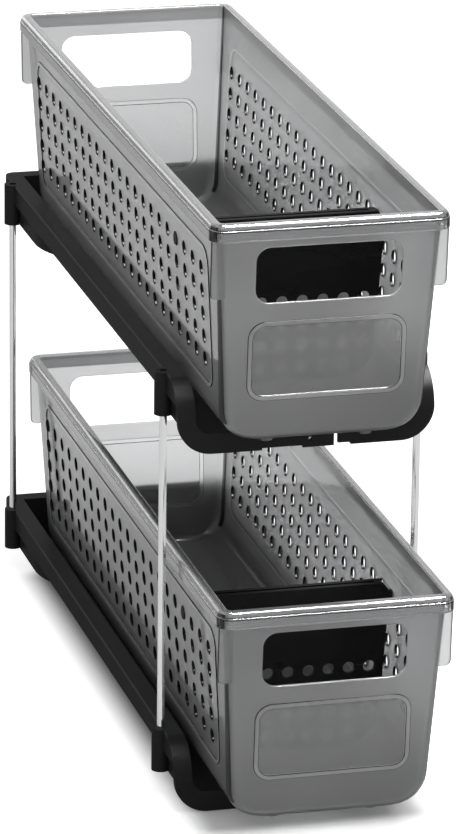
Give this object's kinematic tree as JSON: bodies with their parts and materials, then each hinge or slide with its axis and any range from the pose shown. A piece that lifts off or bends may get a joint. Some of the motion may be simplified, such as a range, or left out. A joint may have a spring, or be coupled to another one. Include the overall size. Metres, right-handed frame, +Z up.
{
  "type": "two-tier pull-out cabinet organiser",
  "caption": "Slim stacked cabinet organiser: long perforated baskets with hand openings and swinging dividers slide on black trays joined by steel posts.",
  "frame": {"origin": "under the middle of the organiser's box as it stands with both baskets slightly out, on the ground", "axes": "+Z up; the baskets pull out towards -Y; +X to the right as seen from the front"},
  "size_m": [0.1456, 0.48, 0.3297],
  "materials": {
    "tray_plastic": "satin moulded plastic",
    "post_steel": "bright plated steel rod",
    "basket_plastic": "smoky see-through moulded plastic",
    "divider_plastic": "satin moulded plastic"
  },
  "bodies": {
    "frame": {"lower_tray": "tray_plastic", "upper_tray": "tray_plastic", "post_front_left": "post_steel", "post_front_right": "post_steel", "post_back_left": "post_steel", "post_back_right": "post_steel"},
    "lower_basket": {"lower_basket": "basket_plastic"},
    "upper_basket": {"upper_basket": "basket_plastic"},
    "lower_divider": {"lower_divider": "divider_plastic"},
    "upper_divider": {"upper_divider": "divider_plastic"}
  },
  "joints": [
    {"name": "lower_slide", "type": "slide", "parent": "frame", "child": "lower_basket", "axis": [0, -1, 0], "range_m": [-0.035, 0.165]},
    {"name": "lower_divider_swing", "type": "hinge", "parent": "lower_basket", "child": "lower_divider", "pos_m": [0, -0.14348, 0.1], "axis": [1, 0, 0], "range_deg": [-75, 75]},
    {"name": "upper_slide", "type": "slide", "parent": "frame", "child": "upper_basket", "axis": [0, -1, 0], "range_m": [-0.012, 0.188]},
    {"name": "upper_divider_swing", "type": "hinge", "parent": "upper_basket", "child": "upper_divider", "pos_m": [0, -0.12048, 0.296], "axis": [1, 0, 0], "range_deg": [-75, 75]}
  ]
}
